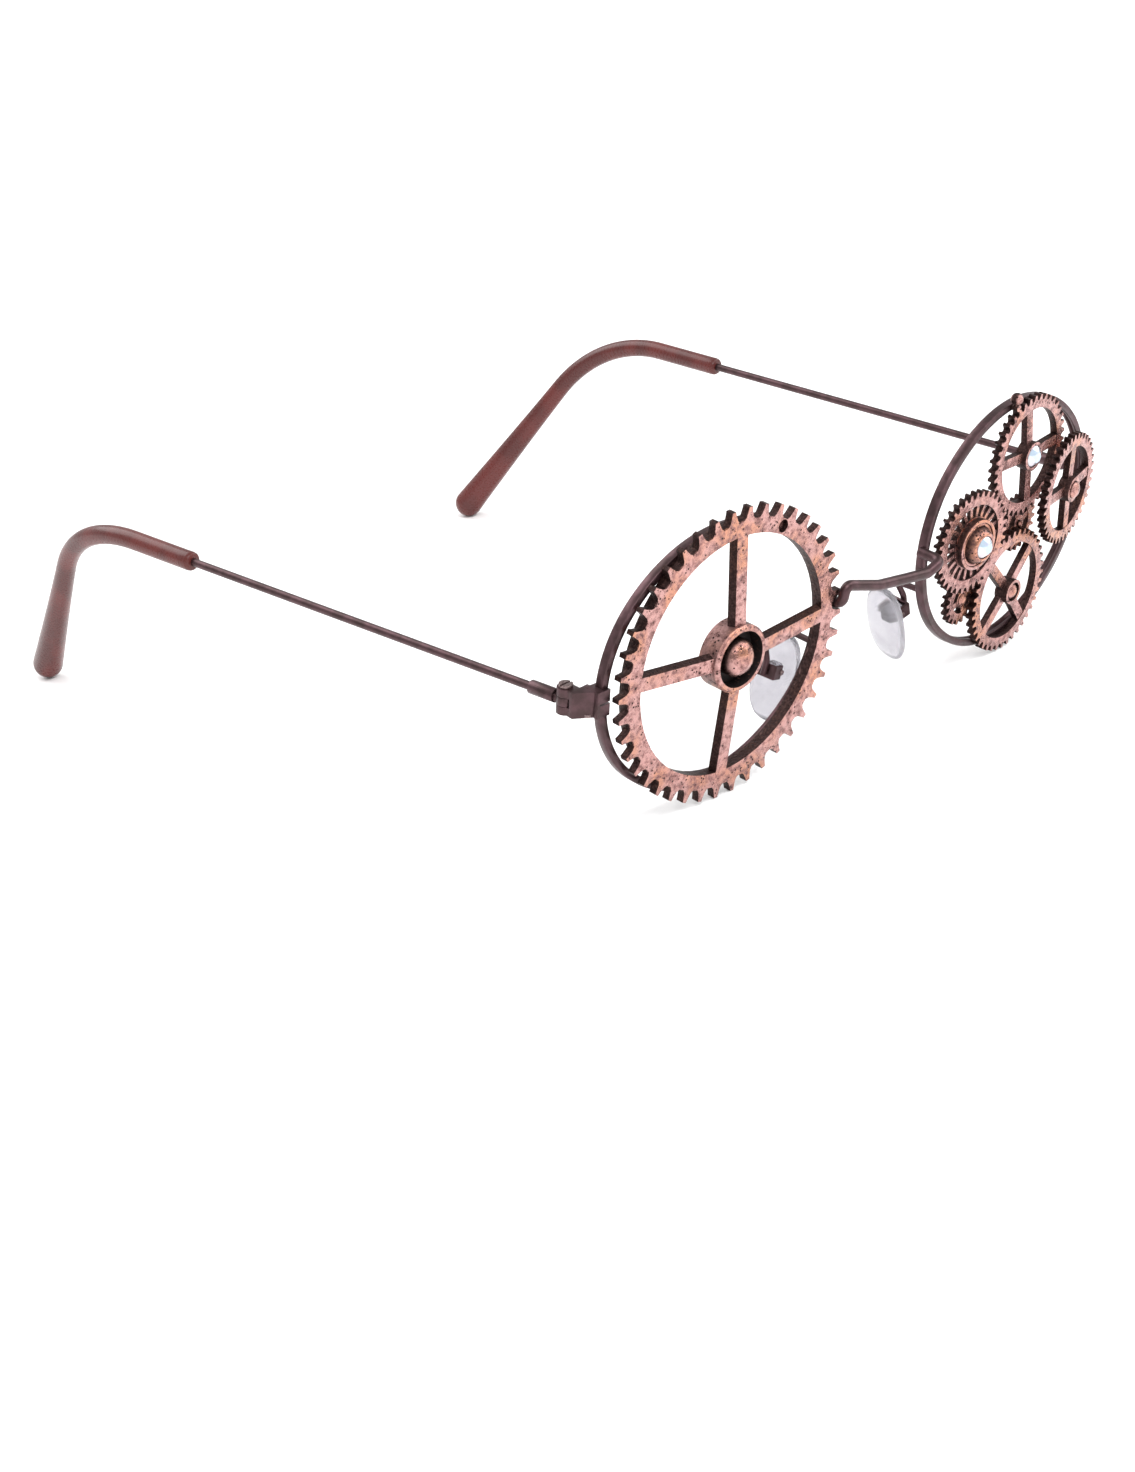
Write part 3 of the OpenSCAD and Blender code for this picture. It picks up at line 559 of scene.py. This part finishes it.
def tip_curve():
    """The middle line of a temple tip from its collar to the end of its bulb, with the radii."""
    straight_steps, bend_steps, drop_steps, swell_power = 10, 24, 30, 1.25
    bend = math.radians(TIP_BEND)
    path = [Vector((0, y, 0)) for y, r in TIP_COLLAR]
    radii = [r for y, r in TIP_COLLAR]
    collar_end = path[-1].y
    for i in range(1, straight_steps + 1):
        path.append(Vector((0, collar_end + (TIP_STRAIGHT - collar_end) * i / straight_steps, 0)))
        radii.append(TIP_START_R)
    for i in range(1, bend_steps + 1):
        a = bend * i / bend_steps
        path.append(Vector((0, TIP_STRAIGHT + TIP_BEND_R * math.sin(a), -TIP_BEND_R * (1 - math.cos(a)))))
        radii.append(TIP_START_R + (TIP_BENT_R - TIP_START_R) * i / bend_steps)
    bend_end, along = path[-1], Vector((0, math.cos(bend), -math.sin(bend)))
    for i in range(1, drop_steps + 1):
        path.append(bend_end + along * TIP_DROP * i / drop_steps)
        radii.append(TIP_BENT_R + (TIP_END_R - TIP_BENT_R) * (i / drop_steps) ** swell_power)
    bulb = path[-1]
    for degrees in range(9, 90, 10):
        a = math.radians(degrees)
        path.append(bulb + along * TIP_END_R * math.sin(a))
        radii.append(TIP_END_R * math.cos(a))
    return path, radii


def temple_tip(side):
    """The plastic tip: a rolled collar, a long bend and a drop that swells to a round bulb."""
    name = SIDE_NAMES[side]
    path, radii = tip_curve()
    points, faces = tube_mesh(path, radii, 36)
    place = temple_frame(side) @ Matrix.Translation((0, TEMPLE_LEN, 0)) @ turn("Y", TIP_LEAN)
    piece = add_mesh(name + "_tip", points, faces, place, MATERIALS["tip_plastic"])
    fit_in(piece, name + "_temple", name + "_temple_tip")


def pad_outline(share, count):
    """A D-shaped pad outline as x across and z up, scaled by share."""
    across_power, up_power, straighter = 0.85, 0.9, 0.5
    outline = []
    for k in range(count):
        a = 2 * math.pi * k / count
        c, s = math.cos(a), math.sin(a)
        across = math.copysign(abs(c) ** across_power, c) * PAD_W / 2
        up = math.copysign(abs(s) ** up_power, s) * PAD_LEN / 2
        bow = straighter * (1 - (2 * up / PAD_LEN) ** 2) if across < 0 else 0.0
        outline.append(((across + bow) * share, up * share))
    return outline


def nose_pad(side):
    """A clear pad, domed toward the nose, with its screw boss behind."""
    name = SIDE_NAMES[side]
    sides = 72
    points = [(-PAD_OFF + depth, y, -PAD_LOW + z)
              for share, depth in PAD_LAYERS for y, z in pad_outline(share, sides)]
    faces = stacked_faces(len(PAD_LAYERS), sides)
    piece = add_mesh(name + "_pad", points, faces, pad_frame(side), MATERIALS["clear_pad"])
    boss = box_mesh(name + "_pad_boss", PAD_BOSS, pad_frame(side), MATERIALS["clear_pad"], PAD_BOSS_ROUND)
    fit_in(boss, name + "_nose_pad", name + "_nose_pad")
    fit_in(piece, name + "_nose_pad", name + "_nose_pad")


def pad_arm(side):
    """The pad arm's wire as one smooth loop, and the bracket that holds the pad."""
    name = SIDE_NAMES[side]
    oval_shift = (RIM_HALF_W - RIM_HALF_H) * (2 + math.sqrt(2)) / 2
    foot_x = -oval_shift - math.sqrt((RIM_HALF_W - oval_shift) ** 2 - PAD_ARM_DOWN ** 2)
    foot = Vector((foot_x, RIM_DEPTH, -PAD_ARM_DOWN))
    to_rim = rim_frame(side).inverted() @ pad_frame(side)
    corners = [
        foot, foot + Vector((0, 3.4, 0)), to_rim @ Vector((PAD_ARM_X, 0.5, 4.2)) + Vector((0, 0.8, 0)),
        to_rim @ Vector((PAD_ARM_X, 0, 1.6)), to_rim @ Vector((PAD_ARM_X, 0, -0.6)),
    ]
    path = rounded_path(corners, WIRE_CORNER_R)
    points, faces = tube_mesh(path, [PAD_ARM_R] * len(path), 20)
    piece = add_mesh(name + "_arm", points, faces, rim_frame(side), MATERIALS["frame_metal"])
    fit_in(piece, "frame", name + "_pad_arm")
    for part, ends in BRACKET.items():
        plate = box_mesh(name + "_" + part, ends, pad_frame(side), MATERIALS["frame_metal"], BRACKET_ROUND)
        fit_in(plate, "frame", name + "_pad_arm")


def repaint(piece, material, wanted):
    """Gives another material to the faces whose corners all pass the test."""
    piece.data.materials.append(material)
    index = len(piece.data.materials) - 1
    for face in piece.data.polygons:
        if all(wanted(piece.data.vertices[corner].co / MM) for corner in face.vertices):
            face.material_index = index


def big_gear_regions(piece):
    """The hub with less painted shade on its side faces, and near-black painted shade, partly patina, in
    its recess.
    """
    to_gear = (rim_frame(RIGHT) @ Matrix.Translation(BIG_AT)).inverted()
    hub_slack, recess_slack = 0.1, 0.05

    def hub(corner):
        local = to_gear @ corner
        return math.hypot(local.x, local.z) < BIG_HUB_R + hub_slack

    def recess(corner):
        local = to_gear @ corner
        inside = math.hypot(local.x, local.z) < BIG_RECESS_R + recess_slack
        return inside and local.y < recess_slack - BIG_FLOOR_T

    # The hub takes the copper with less painted shade on faces turned from the front
    repaint(piece, LIGHT_SHADE_COPPER, hub)
    # The recess takes near-black painted shade, partly patina
    repaint(piece, RECESS_SHADE_COPPER, recess)


def crystal(name, node, normal):
    """A cut crystal over its CAD stand-in: table, star and kite facets down to the girdle."""
    low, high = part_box(node)
    middle = (low + high) / 2 / MM
    up = normal.normalized()
    across = up.orthogonal().normalized()
    aside = up.cross(across)
    base = middle - up * CRYSTAL_SUNK
    points = []
    for count, share, height, shift in CRYSTAL_RINGS:
        for k in range(count):
            a = 2 * math.pi * (k + shift) / count
            spot = math.cos(a) * across + math.sin(a) * aside
            points.append(base + CRYSTAL_R * share * spot + up * height)
    tool = bmesh.new()
    verts = [tool.verts.new(p * MM) for p in points]
    bmesh.ops.convex_hull(tool, input=verts)
    mesh = bpy.data.meshes.new(name)
    tool.to_mesh(mesh)
    tool.free()
    mesh.materials.append(MATERIALS["crystal"])
    fit_in(link_new(name, mesh), "frame", node)


def finish_nodes():
    """Gives every CAD node its material, and rounds the edges of the machined ones."""
    for name, node in frame["nodes"].items():
        node.data.materials.clear()
        node.data.materials.append(MATERIALS[SLOT_OF[name]])
    for name, width in EDGE_WIDTHS.items():
        polished = name in {"big_gear_rivet", "gear_cap"}
        piece = soften(name, width, POLISHED_COPPER if polished else MATERIALS[SLOT_OF[name]])
        if name == "big_gear":
            big_gear_regions(piece)


# Stage

def floor():
    """A white floor under the lowest point."""
    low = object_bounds()[0]
    corners = [(x * FLOOR_REACH, y * FLOOR_REACH, low[2]) for x, y in ((-1, -1), (1, -1), (1, 1), (-1, 1))]
    mesh = bpy.data.meshes.new("floor")
    mesh.from_pydata(corners, [], [(0, 1, 2, 3)])
    material = bpy.data.materials.new("floor")
    material.use_nodes = True
    shader = material.node_tree.nodes["Principled BSDF"]
    shader.inputs["Base Color"].default_value = (0.98, 0.98, 0.98, 1)
    shader.inputs["Roughness"].default_value = 0.7
    mesh.materials.append(material)
    plane = link_new("floor", mesh)
    plane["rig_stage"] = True


def area_light(name, place, target, size, power):
    light = bpy.data.lights.new(name, "AREA")
    light.shape = "SQUARE"
    light.size = size
    light.energy = power
    lamp = link_new(name, light)
    lamp.location = place
    lamp.rotation_euler = (Vector(target) - Vector(place)).to_track_quat("-Z", "Y").to_euler()


def studio():
    world = bpy.data.worlds.new("studio")
    world.use_nodes = True
    world.node_tree.nodes["Background"].inputs["Color"].default_value = (1, 1, 1, 1)
    world.node_tree.nodes["Background"].inputs["Strength"].default_value = 0.75
    bpy.context.scene.world = world
    bpy.context.scene.view_settings.view_transform = "Standard"
    for name, light in LIGHTS.items():
        area_light(name, *light)


def camera():
    """The photograph's viewpoint, set in the frame of the rims."""
    azimuth, elevation = math.radians(CAMERA_AZIMUTH), math.radians(CAMERA_ELEVATION)
    back = Vector((math.sin(azimuth) * math.cos(elevation), -math.cos(azimuth) * math.cos(elevation),
                   math.sin(elevation)))
    right = (-back).cross(Vector((0, 0, 1))).normalized()
    up = right.cross(-back)
    roll = math.radians(CAMERA_ROLL)
    rolled_right = math.cos(roll) * right + math.sin(roll) * up
    rolled_up = -math.sin(roll) * right + math.cos(roll) * up
    turned = Matrix((rolled_right, rolled_up, back)).transposed().to_4x4()
    data = bpy.data.cameras.new("camera")
    data.sensor_fit = "VERTICAL"
    data.sensor_height = SENSOR_MM
    data.lens = CAMERA_FOCAL_PX * SENSOR_MM / IMAGE_HEIGHT_PX
    data.clip_start = 0.01
    viewer = link_new("camera", data)
    viewer.matrix_world = STAND @ Matrix.Translation(CAMERA_AT * MM) @ turned
    bpy.context.scene.camera = viewer


camera()
finish_nodes()
bridge()
for side in (RIGHT, LEFT):
    temple_tip(side)
    nose_pad(side)
    pad_arm(side)
crystal("hub_crystal", "top_crystal", FRONT_OF_RIMS)
crystal("crown_crystal", "cap_crystal", FRONT_OF_RIMS)
floor()
studio()
